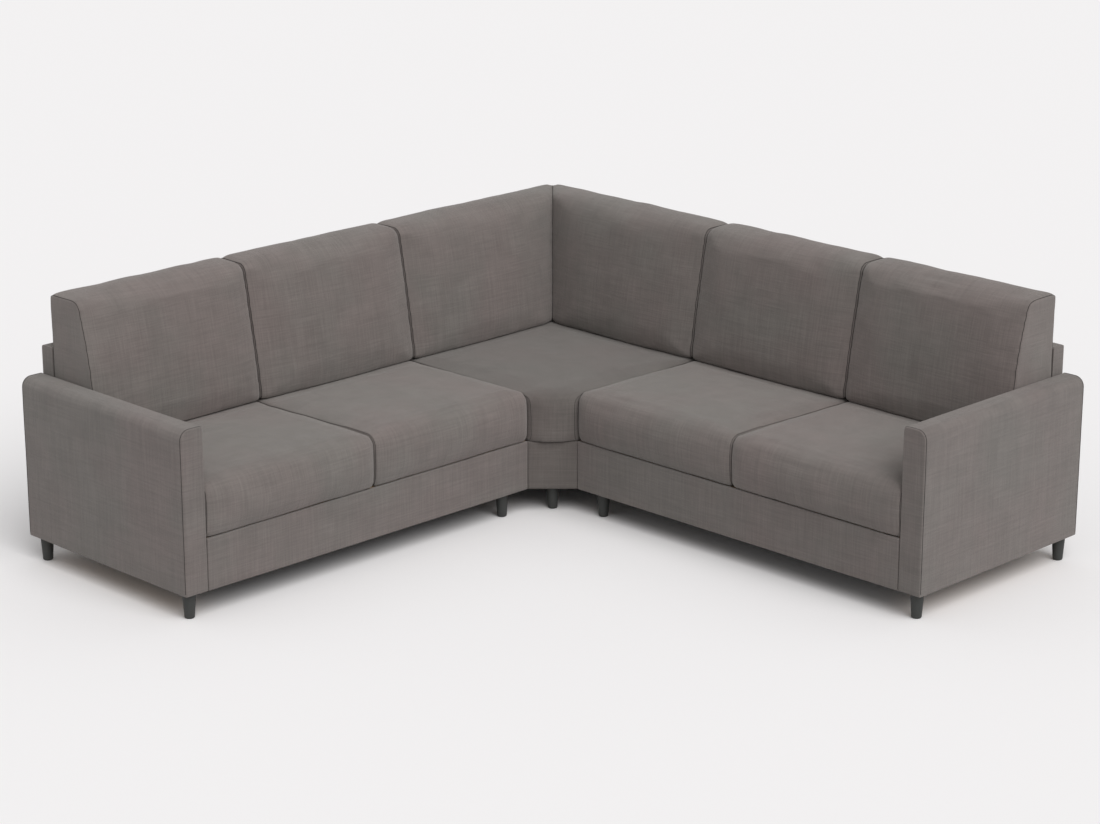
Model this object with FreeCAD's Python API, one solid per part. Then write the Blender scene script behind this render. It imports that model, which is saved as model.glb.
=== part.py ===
import FreeCAD, Part
import math
import os
from FreeCAD import Vector

# Corner sofa of three joined units: a left seat unit with an arm, a square corner unit and a
# right seat unit with an arm. Millimetres, +Z up, origin on the floor under the middle of the
# outline. The back corner is at (-X, +Y). The right wing runs along +X, the left wing along -Y.
#
# Each wing is built in wing coordinates: s runs along the wing from the back corner, d runs
# from the back plane towards the sitter, z is the height. The left wing is the right wing
# mirrored through the upright plane of the corner's diagonal.

# Driving dimensions of the layout
SEAT_WIDTH = 705.0
ARM_THICKNESS = 88.0
WING_DEPTH = 838.0
CLIP_RUN = 119.0

# Driving heights, each measured from the floor or from the piece below
LEG_HEIGHT = 87.0
BASE_HEIGHT = 175.0
SEAT_THICKNESS = 174.0
ARM_HEIGHT = 633.0
BACK_FRAME_HEIGHT = 726.0
BACK_CUSHION_HEIGHT = 475.0

# Timber frame
RAIL_THICKNESS = 20.0
CENTRE_RAIL_DROP = 22.0
BLOCK_LENGTH = 104.0
BLOCK_DEPTH = 60.0
BLOCK_HEIGHT = 60.0
BACK_BOARD_THICKNESS = 22.0
BACK_BOARD_WIDTH = 70.0
BACK_BOARD_COUNT = 4
BACK_POST_WIDTH = 60.0
ARM_RAIL_HEIGHT = 60.0
ARM_POST_WIDTH = 45.0

# Padded covers and the dust sheets under the bases
APRON_THICKNESS = 12.0
APRON_EDGE_RADIUS = 6.0
BACK_REAR_PAD = 6.0
BACK_FRONT_PAD = 8.0
BACK_TOP_PAD = 10.0
BACK_END_PAD = 6.0
BACK_EDGE_RADIUS = 7.0
ARM_SIDE_PAD = 12.0
ARM_TOP_PAD = 14.0
ARM_TOP_OUTER_RADIUS = 34.0
ARM_TOP_INNER_RADIUS = 14.0
ARM_EDGE_SLOPE = 6.0
DUST_SHEET = 1.0
DUST_SHEET_LAP = 10.0
DUST_SHEET_ROOM = 3.0

# Elastic webbing, woven over and under
STRAP_WIDTH = 80.0
STRAP_THICKNESS = 2.0
STRAP_GAP = 110.0
STRAP_FLAT_MARGIN = 2.0
STRAP_RAMP = 50.0
STRAP_LAP = 9.0
WEAVE_CLEARANCE = 0.3

# Seat cushions
SEAT_NOSE_RADIUS = 38.0
SEAT_NOSE_LIFT = 9.0
SEAT_FRONT_OVERHANG = 3.0
SEAT_BROW_LEAN = 4.0
SEAT_FRONT_BULGE = 14.0
SEAT_CROWN = 8.0
SEAT_LEAST_CROWN = 2.0
SEAT_CROWN_MARGIN = 16.0
SEAT_EDGE_DROP = 5.0
SEAT_EDGE_DRAW = 6.0
SEAT_LOWER_EDGE = 9.0
SEAT_FLAT_MARGIN = 14.0
CORNER_NOSE_RADIUS = 34.0
CORNER_SIDE_SLOPE = 8.0

# Back cushions
BACK_CUSHION_FOOT = 214.0
BACK_CUSHION_HEAD = 144.0
BACK_CUSHION_SHOULDER = 44.0
BACK_CUSHION_HEEL = 8.0
BACK_CUSHION_LOWER_EDGE = 12.0
BACK_CUSHION_FACE_BOW = 2.0
BACK_CUSHION_BULGE = 16.0
BACK_EDGE_DRAW = 8.0
BACK_EDGE_DROP = 5.0
BOXED_END_SWELL = 28.0
BOXED_END_DRAW = 0.5
BOXED_EDGE_ROUND = 7.0
CUSHION_EDGE_ROUND = 26.0
MITRE_ROUND = 34.0

# Where the sections of a cushion lie: shares of its rounded edge and of its half width
SEAT_EDGE_SHARES = (0.0, 0.2, 1.0)
BACK_EDGE_SHARES = (0.0, 1.0)
QUARTER_SHARE = 0.45

# Legs, bolts and joining plates
LEG_TOP_RADIUS = 22.5
LEG_FOOT_RADIUS = 16.5
LEG_RING_POINTS = 12
LEG_FRONT_SETBACK = 44.0
LEG_REAR_SETBACK = 40.0
LEG_END_SETBACK = 42.0
LEG_UNIT_SETBACK = 86.0
LEG_INNER_REAR = 105.0
LEG_CLIP_SETBACK = 59.0
TENON_WIDTH = 18.0
TENON_LENGTH = 30.0
BOLT_RADIUS = 4.0
BOLT_HEAD_RADIUS = 7.5
BOLT_HEAD_HEIGHT = 5.0
ARM_BOLT_LEVEL = 31.0
ARM_BOLT_INSET = 150.0
ARM_BOLT_REACH = 40.0
PLATE_LENGTH = 90.0
PLATE_THICKNESS = 3.0

# Named clearances
BODY_CLEARANCE = 0.3
CUSHION_SIDE_CLEARANCE = 1.0
TENON_CLEARANCE = 0.15
BORE_CLEARANCE = 0.3

# Sizes that follow from the driving dimensions
CORNER_SIDE = WING_DEPTH + CLIP_RUN
WING_LENGTH = CORNER_SIDE + 2 * SEAT_WIDTH + ARM_THICKNESS
ARM_INNER = WING_LENGTH - ARM_THICKNESS
DECK = LEG_HEIGHT + BASE_HEIGHT
RAIL_TOP = DECK - 2 * STRAP_THICKNESS - WEAVE_CLEARANCE
BACK_CORE_FRONT = BACK_REAR_PAD + 2 * BACK_BOARD_THICKNESS
BACK_DEPTH = BACK_CORE_FRONT + BACK_FRONT_PAD
BACK_FRAME_TOP = BACK_FRAME_HEIGHT - BACK_TOP_PAD
REAR_RAIL_FRONT = BACK_CORE_FRONT + RAIL_THICKNESS
FRONT_RAIL_FRONT = WING_DEPTH - APRON_THICKNESS
FRONT_RAIL_REAR = FRONT_RAIL_FRONT - RAIL_THICKNESS
SEAT_BOTTOM = DECK + BODY_CLEARANCE
SEAT_TOP = SEAT_BOTTOM + SEAT_THICKNESS
SEAT_BACK = BACK_DEPTH + BODY_CLEARANCE
SEAT_REAR_FLAT = SEAT_BACK + BACK_CUSHION_FOOT + SEAT_FLAT_MARGIN
BACK_CUSHION_BASE = SEAT_TOP + BODY_CLEARANCE
BACK_CUSHION_TOP = BACK_CUSHION_BASE + BACK_CUSHION_HEIGHT
CLIP_SUM = CORNER_SIDE + WING_DEPTH
DIAGONAL = math.sqrt(2.0)
ARC_SAG = 1.0 - 1.0 / DIAGONAL

nodes = {}


def block(s, d, z):
    """A box from three (low, high) spans in wing coordinates."""
    corner = Vector(s[0], -d[1], z[0])
    return Part.makeBox(s[1] - s[0], d[1] - d[0], z[1] - z[0], corner)


def at(s, d, z):
    """A point in wing coordinates."""
    return Vector(s, -d, z)


def group(solids):
    return Part.makeCompound(solids)


def mirrored(shape):
    """A right-wing shape on the left wing: s and d change places."""
    return shape.mirror(Vector(0, 0, 0), Vector(1, 1, 0))


def near(value, target):
    return abs(value - target) < 0.01


def edges_along(shape, direction, keep):
    """Straight edges along a direction whose middle passes a test."""
    chosen = []
    for edge in shape.Edges:
        if len(edge.Vertexes) != 2:
            continue
        run = edge.Vertexes[1].Point - edge.Vertexes[0].Point
        if abs(abs(run.normalize().dot(direction)) - 1.0) > 1e-6:
            continue
        middle = (edge.Vertexes[0].Point + edge.Vertexes[1].Point) * 0.5
        if keep(middle):
            chosen.append(edge)
    return chosen


# Places of the legs, in wing coordinates

def wing_leg_places():
    front = WING_DEPTH - LEG_FRONT_SETBACK
    inner = CORNER_SIDE + LEG_UNIT_SETBACK
    outer = WING_LENGTH - LEG_END_SETBACK
    return [(inner, front), (inner, LEG_INNER_REAR), (outer, front), (outer, LEG_REAR_SETBACK)]


def corner_leg_places():
    clip = (CLIP_SUM - LEG_CLIP_SETBACK * DIAGONAL) / 2
    far = CORNER_SIDE - LEG_UNIT_SETBACK
    rear = LEG_INNER_REAR
    return [(clip, clip), (rear, rear), (far, rear), (rear, far)]


# Legs

def square_post(place, side, bottom, top):
    """An upright square bar round a leg's axis."""
    s, d = place
    half = side / 2
    return block((s - half, s + half), (d - half, d + half), (bottom, top))


def round_section(place, radius, height):
    """A smooth closed ring through points on a circle."""
    turns = [2 * math.pi * i / LEG_RING_POINTS for i in range(LEG_RING_POINTS)]
    points = [at(place[0] + radius * math.cos(t), place[1] + radius * math.sin(t), height) for t in turns]
    ring = Part.BSplineCurve()
    ring.interpolate(points, PeriodicFlag=True)
    return Part.Wire(ring.toShape())


def leg(place):
    """A tapered round foot with a square tenon on top."""
    rings = [round_section(place, LEG_FOOT_RADIUS, 0), round_section(place, LEG_TOP_RADIUS, LEG_HEIGHT)]
    foot = Part.makeLoft(rings, True, True)
    return foot.fuse(square_post(place, TENON_WIDTH, LEG_HEIGHT / 2, LEG_HEIGHT + TENON_LENGTH))


def legs(places):
    return group([leg(place) for place in places])


def mortised(shape, places):
    """The shape with a blind square mortise for the tenon of each leg."""
    for place in places:
        width = TENON_WIDTH + 2 * TENON_CLEARANCE
        shape = shape.cut(square_post(place, width, 0, LEG_HEIGHT + TENON_LENGTH))
    return shape


# Base frame of a seat unit

def wing_front_rail():
    return block((CORNER_SIDE, ARM_INNER), (FRONT_RAIL_REAR, FRONT_RAIL_FRONT), (LEG_HEIGHT, RAIL_TOP))


def wing_rear_rail():
    return block((CORNER_SIDE, ARM_INNER), (BACK_CORE_FRONT, REAR_RAIL_FRONT), (LEG_HEIGHT, RAIL_TOP))


def wing_end_rails():
    """The rail against the corner unit and the rail against the arm, bored for its bolts."""
    depth = (REAR_RAIL_FRONT, FRONT_RAIL_REAR)
    inner = block((CORNER_SIDE, CORNER_SIDE + RAIL_THICKNESS), depth, (LEG_HEIGHT, RAIL_TOP))
    outer = block((ARM_INNER - RAIL_THICKNESS, ARM_INNER), depth, (LEG_HEIGHT, RAIL_TOP))
    for d in arm_bolt_places():
        outer = outer.cut(arm_bolt_bore(d))
    return group([inner, outer])


def wing_centre_rail():
    """A stiffener under the seat division, low enough for the webbing to give."""
    centre = CORNER_SIDE + SEAT_WIDTH
    half = RAIL_THICKNESS / 2
    depth = (REAR_RAIL_FRONT, FRONT_RAIL_REAR)
    return block((centre - half, centre + half), depth, (LEG_HEIGHT, RAIL_TOP - CENTRE_RAIL_DROP))


def wing_leg_blocks():
    """Glue blocks in the four inside corners; the two inner ones hold the leg tenons."""
    near_end = CORNER_SIDE + RAIL_THICKNESS
    far_end = ARM_INNER - RAIL_THICKNESS
    spans = [(near_end, near_end + BLOCK_LENGTH), (far_end - BLOCK_LENGTH, far_end)]
    depths = [
        (REAR_RAIL_FRONT, REAR_RAIL_FRONT + BLOCK_DEPTH),
        (FRONT_RAIL_REAR - BLOCK_DEPTH, FRONT_RAIL_REAR),
    ]
    height = (LEG_HEIGHT, LEG_HEIGHT + BLOCK_HEIGHT)
    blocks = [mortised(block(span, depth, height), wing_leg_places()) for span in spans for depth in depths]
    return group(blocks)


# Woven seat webbing

def strap_profile(start, end, crossings, first_over):
    """Path along a strap that rests on a rail at both ends and waves over and under."""
    low = RAIL_TOP
    high = RAIL_TOP + STRAP_THICKNESS + WEAVE_CLEARANCE
    flat = STRAP_WIDTH / 2 + STRAP_FLAT_MARGIN
    points = [(start, low)]
    over = first_over
    for middle in crossings:
        if over:
            points.append((middle - flat - STRAP_RAMP, low))
            points.append((middle - flat, high))
            points.append((middle + flat, high))
            points.append((middle + flat + STRAP_RAMP, low))
        over = not over
    points.append((end, low))
    return points


def strap(points, to_vector, across):
    """A thin waved band: its side outline extruded across its width."""
    lower = [to_vector(run, height) for run, height in points]
    upper = [to_vector(run, height + STRAP_THICKNESS) for run, height in reversed(points)]
    face = Part.Face(Part.makePolygon(lower + upper + [lower[0]]))
    return face.extrude(across)


def strap_centres(low, high):
    """Middles of the straps that fit evenly between two rails."""
    pitch = STRAP_WIDTH + STRAP_GAP
    count = int((high - low - STRAP_GAP / 2) // pitch)
    middle = (low + high) / 2
    return [middle + (i - (count - 1) / 2) * pitch for i in range(count)]


def webbing(s_inside, d_inside, s_centres, d_centres):
    """Straps along s and along d, each passing over every second strap of the other set."""
    half = STRAP_WIDTH / 2
    straps = []
    for i, d in enumerate(d_centres):
        points = strap_profile(s_inside[0] - STRAP_LAP, s_inside[1] + STRAP_LAP, s_centres, i % 2 == 0)
        place = lambda run, height, side=d - half: at(run, side, height)
        straps.append(strap(points, place, at(0, STRAP_WIDTH, 0)))
    for i, s in enumerate(s_centres):
        points = strap_profile(d_inside[0] - STRAP_LAP, d_inside[1] + STRAP_LAP, d_centres, i % 2 == 1)
        place = lambda run, height, side=s - half: at(side, run, height)
        straps.append(strap(points, place, at(STRAP_WIDTH, 0, 0)))
    return group(straps)


def depth_straps():
    """Middles of the straps that run along a wing, which the corner unit carries on."""
    return strap_centres(REAR_RAIL_FRONT, FRONT_RAIL_REAR)


def wing_webbing():
    s_inside = (CORNER_SIDE + RAIL_THICKNESS, ARM_INNER - RAIL_THICKNESS)
    d_inside = (REAR_RAIL_FRONT, FRONT_RAIL_REAR)
    return webbing(s_inside, d_inside, strap_centres(s_inside[0], s_inside[1]), depth_straps())


# Padded apron and dust sheet of a seat unit

def wing_base_cover():
    """Upholstered front apron, flush with the arm's face, with soft edges."""
    body = block((CORNER_SIDE, ARM_INNER), (FRONT_RAIL_FRONT, WING_DEPTH), (LEG_HEIGHT, DECK))
    face = -WING_DEPTH
    long_edges = edges_along(body, Vector(1, 0, 0), lambda p: near(p.y, face))
    unit_edge = edges_along(body, Vector(0, 0, 1), lambda p: near(p.y, face) and near(p.x, CORNER_SIDE))
    return body.makeFillet(APRON_EDGE_RADIUS, long_edges + unit_edge)


def windowed(sheet, places):
    """The sheet with a square window round each leg."""
    room = LEG_TOP_RADIUS + DUST_SHEET_ROOM
    height = (LEG_HEIGHT - DUST_SHEET, LEG_HEIGHT)
    for s, d in places:
        sheet = sheet.cut(block((s - room, s + room), (d - room, d + room), height))
    return sheet


def wing_dust_sheet():
    """Thin cloth stapled under the rails."""
    sheet = block(
        (CORNER_SIDE + RAIL_THICKNESS - DUST_SHEET_LAP, ARM_INNER - RAIL_THICKNESS + DUST_SHEET_LAP),
        (REAR_RAIL_FRONT - DUST_SHEET_LAP, FRONT_RAIL_REAR + DUST_SHEET_LAP),
        (LEG_HEIGHT - DUST_SHEET, LEG_HEIGHT),
    )
    return windowed(sheet, wing_leg_places())


# Arm

def arm_bolt_places():
    return [REAR_RAIL_FRONT + ARM_BOLT_INSET, FRONT_RAIL_REAR - ARM_BOLT_INSET]


def arm_bolt_shank(d, radius):
    """The straight run of an arm bolt, from inside the end rail into the arm's bottom rail."""
    length = RAIL_THICKNESS + ARM_SIDE_PAD + ARM_BOLT_REACH
    head_seat = at(ARM_INNER - RAIL_THICKNESS, d, LEG_HEIGHT + ARM_BOLT_LEVEL)
    return Part.makeCylinder(radius, length, head_seat, Vector(1, 0, 0))


def arm_bolt_bore(d):
    return arm_bolt_shank(d, BOLT_RADIUS + BORE_CLEARANCE)


def arm_bolt(d):
    """A hexagon bolt whose head bears on the inside of the base."""
    corners = []
    for i in range(7):
        angle = i * math.pi / 3
        across = at(0, BOLT_HEAD_RADIUS * math.cos(angle), BOLT_HEAD_RADIUS * math.sin(angle))
        corners.append(at(ARM_INNER - RAIL_THICKNESS, d, LEG_HEIGHT + ARM_BOLT_LEVEL) + across)
    head = Part.Face(Part.makePolygon(corners)).extrude(Vector(-BOLT_HEAD_HEIGHT, 0, 0))
    return arm_bolt_shank(d, BOLT_RADIUS).fuse(head).removeSplitter()


def arm_bolts():
    return group([arm_bolt(d) for d in arm_bolt_places()])


def wing_arm_frame():
    """Bottom and top rails with three posts between them."""
    s_span = (ARM_INNER + ARM_SIDE_PAD, WING_LENGTH - ARM_SIDE_PAD)
    d_span = (ARM_SIDE_PAD, WING_DEPTH - ARM_SIDE_PAD)
    frame_top = ARM_HEIGHT - ARM_TOP_PAD
    posts = (LEG_HEIGHT + ARM_RAIL_HEIGHT, frame_top - ARM_RAIL_HEIGHT)
    bottom = mortised(block(s_span, d_span, (LEG_HEIGHT, posts[0])), wing_leg_places())
    for d in arm_bolt_places():
        bottom = bottom.cut(arm_bolt_bore(d))
    pieces = [bottom, block(s_span, d_span, (posts[1], frame_top))]
    room = d_span[1] - d_span[0] - ARM_POST_WIDTH
    for share in (0.0, 0.5, 1.0):
        start = d_span[0] + share * room
        pieces.append(block(s_span, (start, start + ARM_POST_WIDTH), posts))
    return group(pieces)


def wing_arm_cover():
    """Padded sleeve over the arm frame, open below, with a broad outer top curve."""
    body = block((ARM_INNER, WING_LENGTH), (0, WING_DEPTH), (LEG_HEIGHT, ARM_HEIGHT))
    rims = [(WING_LENGTH, ARM_TOP_OUTER_RADIUS), (ARM_INNER, ARM_TOP_INNER_RADIUS)]
    for side, radius in rims:
        rim = edges_along(body, Vector(0, 1, 0), lambda p: near(p.x, side) and near(p.z, ARM_HEIGHT))
        body = body.makeFillet(radius, rim)
    front = [e for e in body.Edges if all(near(v.Point.y, -WING_DEPTH) for v in e.Vertexes)]
    front = [e for e in front if not all(near(v.Point.z, LEG_HEIGHT) for v in e.Vertexes)]
    body = body.makeChamfer(ARM_EDGE_SLOPE, front)
    cavity = block(
        (ARM_INNER + ARM_SIDE_PAD, WING_LENGTH - ARM_SIDE_PAD),
        (ARM_SIDE_PAD, WING_DEPTH - ARM_SIDE_PAD),
        (0, ARM_HEIGHT - ARM_TOP_PAD),
    )
    body = body.cut(cavity)
    for d in arm_bolt_places():
        body = body.cut(arm_bolt_bore(d))
    return body


# Backs

def back_boards(s_span):
    """Level boards at the rear face, evenly spaced up the back."""
    depth = (BACK_REAR_PAD, BACK_REAR_PAD + BACK_BOARD_THICKNESS)
    step = (BACK_FRAME_TOP - LEG_HEIGHT - BACK_BOARD_WIDTH) / (BACK_BOARD_COUNT - 1)
    feet = [LEG_HEIGHT + i * step for i in range(BACK_BOARD_COUNT)]
    return group([block(s_span, depth, (foot, foot + BACK_BOARD_WIDTH)) for foot in feet])


def back_posts(s_span):
    """Three uprights that the boards are nailed to."""
    depth = (BACK_REAR_PAD + BACK_BOARD_THICKNESS, BACK_CORE_FRONT)
    room = s_span[1] - s_span[0] - BACK_POST_WIDTH
    starts = [s_span[0] + share * room for share in (0.0, 0.5, 1.0)]
    height = (LEG_HEIGHT, BACK_FRAME_TOP)
    return group([block((start, start + BACK_POST_WIDTH), depth, height) for start in starts])


def back_cover(s_span, core_span, mitre):
    """Padded shell over a back frame: rear, top and ends, and the front above the deck."""
    body = block(s_span, (0, BACK_DEPTH), (LEG_HEIGHT, BACK_FRAME_HEIGHT))
    ends = [s_span[1]]
    if mitre:
        body = body.cut(mitre_wedge())
    else:
        ends.append(s_span[0])
    rounded = edges_along(body, Vector(1, 0, 0), lambda p: near(p.z, BACK_FRAME_HEIGHT))
    for end in ends:
        rounded += edges_along(body, Vector(0, 0, 1), lambda p: near(p.x, end))
    body = body.makeFillet(BACK_EDGE_RADIUS, rounded)
    cavity = block(core_span, (BACK_REAR_PAD, BACK_CORE_FRONT), (0, BACK_FRAME_TOP))
    below_deck = block(s_span, (BACK_CORE_FRONT, BACK_DEPTH), (0, DECK))
    return body.cut(cavity).cut(below_deck)


def wing_back_span():
    return (CORNER_SIDE + BACK_END_PAD, ARM_INNER - BACK_END_PAD)


def corner_back_span():
    return (BACK_DEPTH, CORNER_SIDE - BACK_END_PAD)


# Cushion sections and lofts

def arc(a, b, c):
    return Part.Arc(a, b, c).toShape()


def line(a, b):
    return Part.LineSegment(a, b).toShape()


def front_edges(v):
    """Underside, lower edge, bowed face and rounded shoulder of a cushion's outline."""
    return [line(v[0], v[1]), line(v[1], v[2]), arc(v[2], v[3], v[4]), arc(v[4], v[5], v[6])]


def seat_section(place, draw, full):
    """A wing seat's outline across its depth.

    draw is 1 at the drawn-in side seam and 0 inside it; full is 1 in the middle of the cushion.
    """
    rear_top = SEAT_TOP - draw * SEAT_EDGE_DROP
    front_top = rear_top + SEAT_NOSE_LIFT
    foot = WING_DEPTH + SEAT_FRONT_OVERHANG - draw * SEAT_EDGE_DRAW
    brow = foot + SEAT_BROW_LEAN + full * SEAT_FRONT_BULGE / 2
    belly = (foot + brow) / 2 + SEAT_BROW_LEAN + full * SEAT_FRONT_BULGE / 2
    crown = (rear_top + front_top) / 2 + SEAT_LEAST_CROWN + full * SEAT_CROWN
    nose = SEAT_NOSE_RADIUS
    lower = SEAT_LOWER_EDGE
    nose_top = brow - nose
    points = [
        (SEAT_BACK, SEAT_BOTTOM),
        (foot - lower, SEAT_BOTTOM),
        (foot, SEAT_BOTTOM + lower),
        (belly, (SEAT_BOTTOM + front_top) / 2),
        (brow, front_top - nose),
        (brow - nose * ARC_SAG, front_top - nose * ARC_SAG),
        (nose_top, front_top),
        ((SEAT_REAR_FLAT + nose_top) / 2, crown),
        (SEAT_REAR_FLAT, rear_top),
        (SEAT_BACK, rear_top),
    ]
    v = [place(d, z) for d, z in points]
    rear_edges = [arc(v[6], v[7], v[8]), line(v[8], v[9]), line(v[9], v[0])]
    return Part.Wire(front_edges(v) + rear_edges)


def back_section(place, draw, swell):
    """A back cushion's outline across its thickness.

    draw is 1 at a drawn-in side seam; swell is how far its face stands out in front.
    """
    top = BACK_CUSHION_TOP - draw * BACK_EDGE_DROP
    inset = draw * BACK_EDGE_DRAW
    foot = SEAT_BACK + BACK_CUSHION_FOOT - inset + swell * 0.3
    head = SEAT_BACK + BACK_CUSHION_HEAD - inset + swell * 0.7
    shoulder = BACK_CUSHION_SHOULDER
    lower = BACK_CUSHION_LOWER_EDGE
    heel = BACK_CUSHION_HEEL
    face = (foot + head) / 2 + BACK_CUSHION_FACE_BOW + swell * 0.5
    points = [
        (SEAT_BACK, BACK_CUSHION_BASE),
        (foot - lower, BACK_CUSHION_BASE),
        (foot, BACK_CUSHION_BASE + lower),
        (face, (BACK_CUSHION_BASE + lower + top - shoulder) / 2),
        (head, top - shoulder),
        (head - shoulder * ARC_SAG, top - shoulder * ARC_SAG),
        (head - shoulder, top),
        (SEAT_BACK + heel, top),
        (SEAT_BACK, top - heel),
    ]
    v = [place(d, z) for d, z in points]
    return Part.Wire(front_edges(v) + [line(v[6], v[7]), line(v[7], v[8]), line(v[8], v[0])])


def across_wing(s):
    """Section plane square to the wing."""
    return lambda d, z: at(s, d, z)


def leaned_to_mitre(wire):
    """A section square to the wing, sheared into the plane of the corner's mitre."""
    shear = FreeCAD.Matrix()
    shear.A12 = -1.0
    return Part.Wire(wire.transformGeometry(shear).Edges)


def mitre_wedge():
    """Everything on the far side of the mitre plane, where d is larger than s."""
    reach = WING_LENGTH
    corners = [at(-reach, -reach, 0), at(reach, reach, 0), at(-reach, reach, 0)]
    face = Part.Face(Part.makePolygon(corners + corners[:1]))
    return face.extrude(Vector(0, 0, reach))


def edge_marks(shares, reach):
    """Offsets in from a side seam, each with its draw along a quarter ellipse."""
    return [(share * reach, 1.0 - math.sqrt(1.0 - (1.0 - share) ** 2)) for share in shares]


def side_marks(span, shares, low_reach, high_reach):
    """Places across a cushion, each with its draw and how near it is to the middle."""
    low, high = span
    half = (high - low) / 2
    marks = [(low + offset, draw, offset / half) for offset, draw in edge_marks(shares, low_reach)]
    marks += [(low + half * share, 0.0, share) for share in (QUARTER_SHARE, 1.0)]
    marks += [(high - half * QUARTER_SHARE, 0.0, QUARTER_SHARE)]
    far_marks = reversed(edge_marks(shares, high_reach))
    marks += [(high - offset, draw, offset / half) for offset, draw in far_marks]
    return [(s, draw, math.sin(share * math.pi / 2)) for s, draw, share in marks]


def seam_to_seam(low, high):
    """The span left for a cushion between two divisions."""
    return (low + CUSHION_SIDE_CLEARANCE / 2, high - CUSHION_SIDE_CLEARANCE / 2)


def wing_seat_cushion(low, high):
    """Box cushion from one side seam to the other, fullest in the middle."""
    marks = side_marks(seam_to_seam(low, high), SEAT_EDGE_SHARES, CUSHION_EDGE_ROUND, CUSHION_EDGE_ROUND)
    sections = [seat_section(across_wing(s), draw, full) for s, draw, full in marks]
    return Part.makeLoft(sections, True, True)


def inner_back_cushion(low, high):
    """Back cushion drawn in at both side seams, with a full face between them."""
    marks = side_marks(seam_to_seam(low, high), BACK_EDGE_SHARES, CUSHION_EDGE_ROUND, CUSHION_EDGE_ROUND)
    sections = [back_section(across_wing(s), draw, full * BACK_CUSHION_BULGE) for s, draw, full in marks]
    return Part.makeLoft(sections, True, True)


def outer_back_cushion(low, high):
    """Back cushion whose end beside the arm is boxed and keeps its full thickness."""
    span = seam_to_seam(low, high)
    sections = []
    for s, draw, full in side_marks(span, BACK_EDGE_SHARES, CUSHION_EDGE_ROUND, BOXED_EDGE_ROUND):
        swell = full * BACK_CUSHION_BULGE
        if s > (span[0] + span[1]) / 2:
            swell = BACK_CUSHION_BULGE + (1.0 - full) * (BOXED_END_SWELL - BACK_CUSHION_BULGE)
            draw = draw * BOXED_END_DRAW
        sections.append(back_section(across_wing(s), draw, swell))
    return Part.makeLoft(sections, True, True)


# Corner unit

def clip_wedge(setback):
    """Everything in front of the clipped face moved back by a setback."""
    limit = CLIP_SUM - setback * DIAGONAL
    reach = 2 * WING_LENGTH
    corners = [at(limit, 0, 0), at(0, limit, 0), at(reach, reach, 0)]
    face = Part.Face(Part.makePolygon(corners + corners[:1]))
    return face.extrude(Vector(0, 0, reach))


def clip_band(front, rear, limit, z):
    """A diagonal board between two setbacks from the clipped face, within a square."""
    square = block((0, limit), (0, limit), z)
    return square.cut(clip_wedge(front)).common(clip_wedge(rear))


def corner_rear_rails():
    height = (LEG_HEIGHT, RAIL_TOP)
    rear = (BACK_CORE_FRONT, REAR_RAIL_FRONT)
    right = block((BACK_CORE_FRONT, CORNER_SIDE), rear, height)
    left = block(rear, (REAR_RAIL_FRONT, CORNER_SIDE), height)
    return group([right, left])


def corner_side_rails():
    """The rails against the two seat units, cut off by the clipped front rail."""
    side = (CORNER_SIDE - RAIL_THICKNESS, CORNER_SIDE)
    right = block(side, (REAR_RAIL_FRONT, CORNER_SIDE), (LEG_HEIGHT, RAIL_TOP))
    right = right.cut(clip_wedge(APRON_THICKNESS + RAIL_THICKNESS))
    return group([right, mirrored(right)])


def corner_front_rail():
    return clip_band(APRON_THICKNESS, APRON_THICKNESS + RAIL_THICKNESS, CORNER_SIDE, (LEG_HEIGHT, RAIL_TOP))


def corner_base_cover():
    """Upholstered apron on the clipped front face."""
    body = clip_band(0.0, APRON_THICKNESS, CORNER_SIDE, (LEG_HEIGHT, DECK))
    along = Vector(1, 1, 0).normalize()
    front = edges_along(body, along, lambda p: near(p.x - p.y, CLIP_SUM))
    return body.makeFillet(APRON_EDGE_RADIUS, front)


def corner_leg_blocks():
    """Glue blocks in the rear corners and behind the clipped rail, each with a leg's mortise."""
    height = (LEG_HEIGHT, LEG_HEIGHT + BLOCK_HEIGHT)
    near_depth = (REAR_RAIL_FRONT, REAR_RAIL_FRONT + BLOCK_DEPTH)
    far = CORNER_SIDE - RAIL_THICKNESS
    setback = APRON_THICKNESS + RAIL_THICKNESS
    right = block((far - BLOCK_LENGTH, far), near_depth, height)
    blocks = [
        block(near_depth, near_depth, height),
        right,
        mirrored(right),
        clip_band(setback, setback + BLOCK_DEPTH, far, height),
    ]
    return group([mortised(piece, corner_leg_places()) for piece in blocks])


def corner_webbing():
    inside = (REAR_RAIL_FRONT, CORNER_SIDE - RAIL_THICKNESS)
    return webbing(inside, inside, depth_straps(), depth_straps())


def corner_dust_sheet():
    span = (REAR_RAIL_FRONT - DUST_SHEET_LAP, CORNER_SIDE - RAIL_THICKNESS + DUST_SHEET_LAP)
    sheet = block(span, span, (LEG_HEIGHT - DUST_SHEET, LEG_HEIGHT))
    sheet = sheet.cut(clip_wedge(APRON_THICKNESS + DUST_SHEET_LAP))
    return windowed(sheet, corner_leg_places())


def side_slope(high):
    """What comes off the corner seat's top edge along its right side."""
    above = SEAT_TOP + CORNER_SIDE_SLOPE
    outside = high + CORNER_SIDE_SLOPE
    profile = Part.makePolygon([
        at(high - 2 * CORNER_SIDE_SLOPE, 0, above),
        at(outside, 0, SEAT_TOP - 2 * CORNER_SIDE_SLOPE),
        at(outside, 0, above),
        at(high - 2 * CORNER_SIDE_SLOPE, 0, above),
    ])
    return Part.Face(profile).extrude(Vector(0, -CORNER_SIDE, 0))


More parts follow.
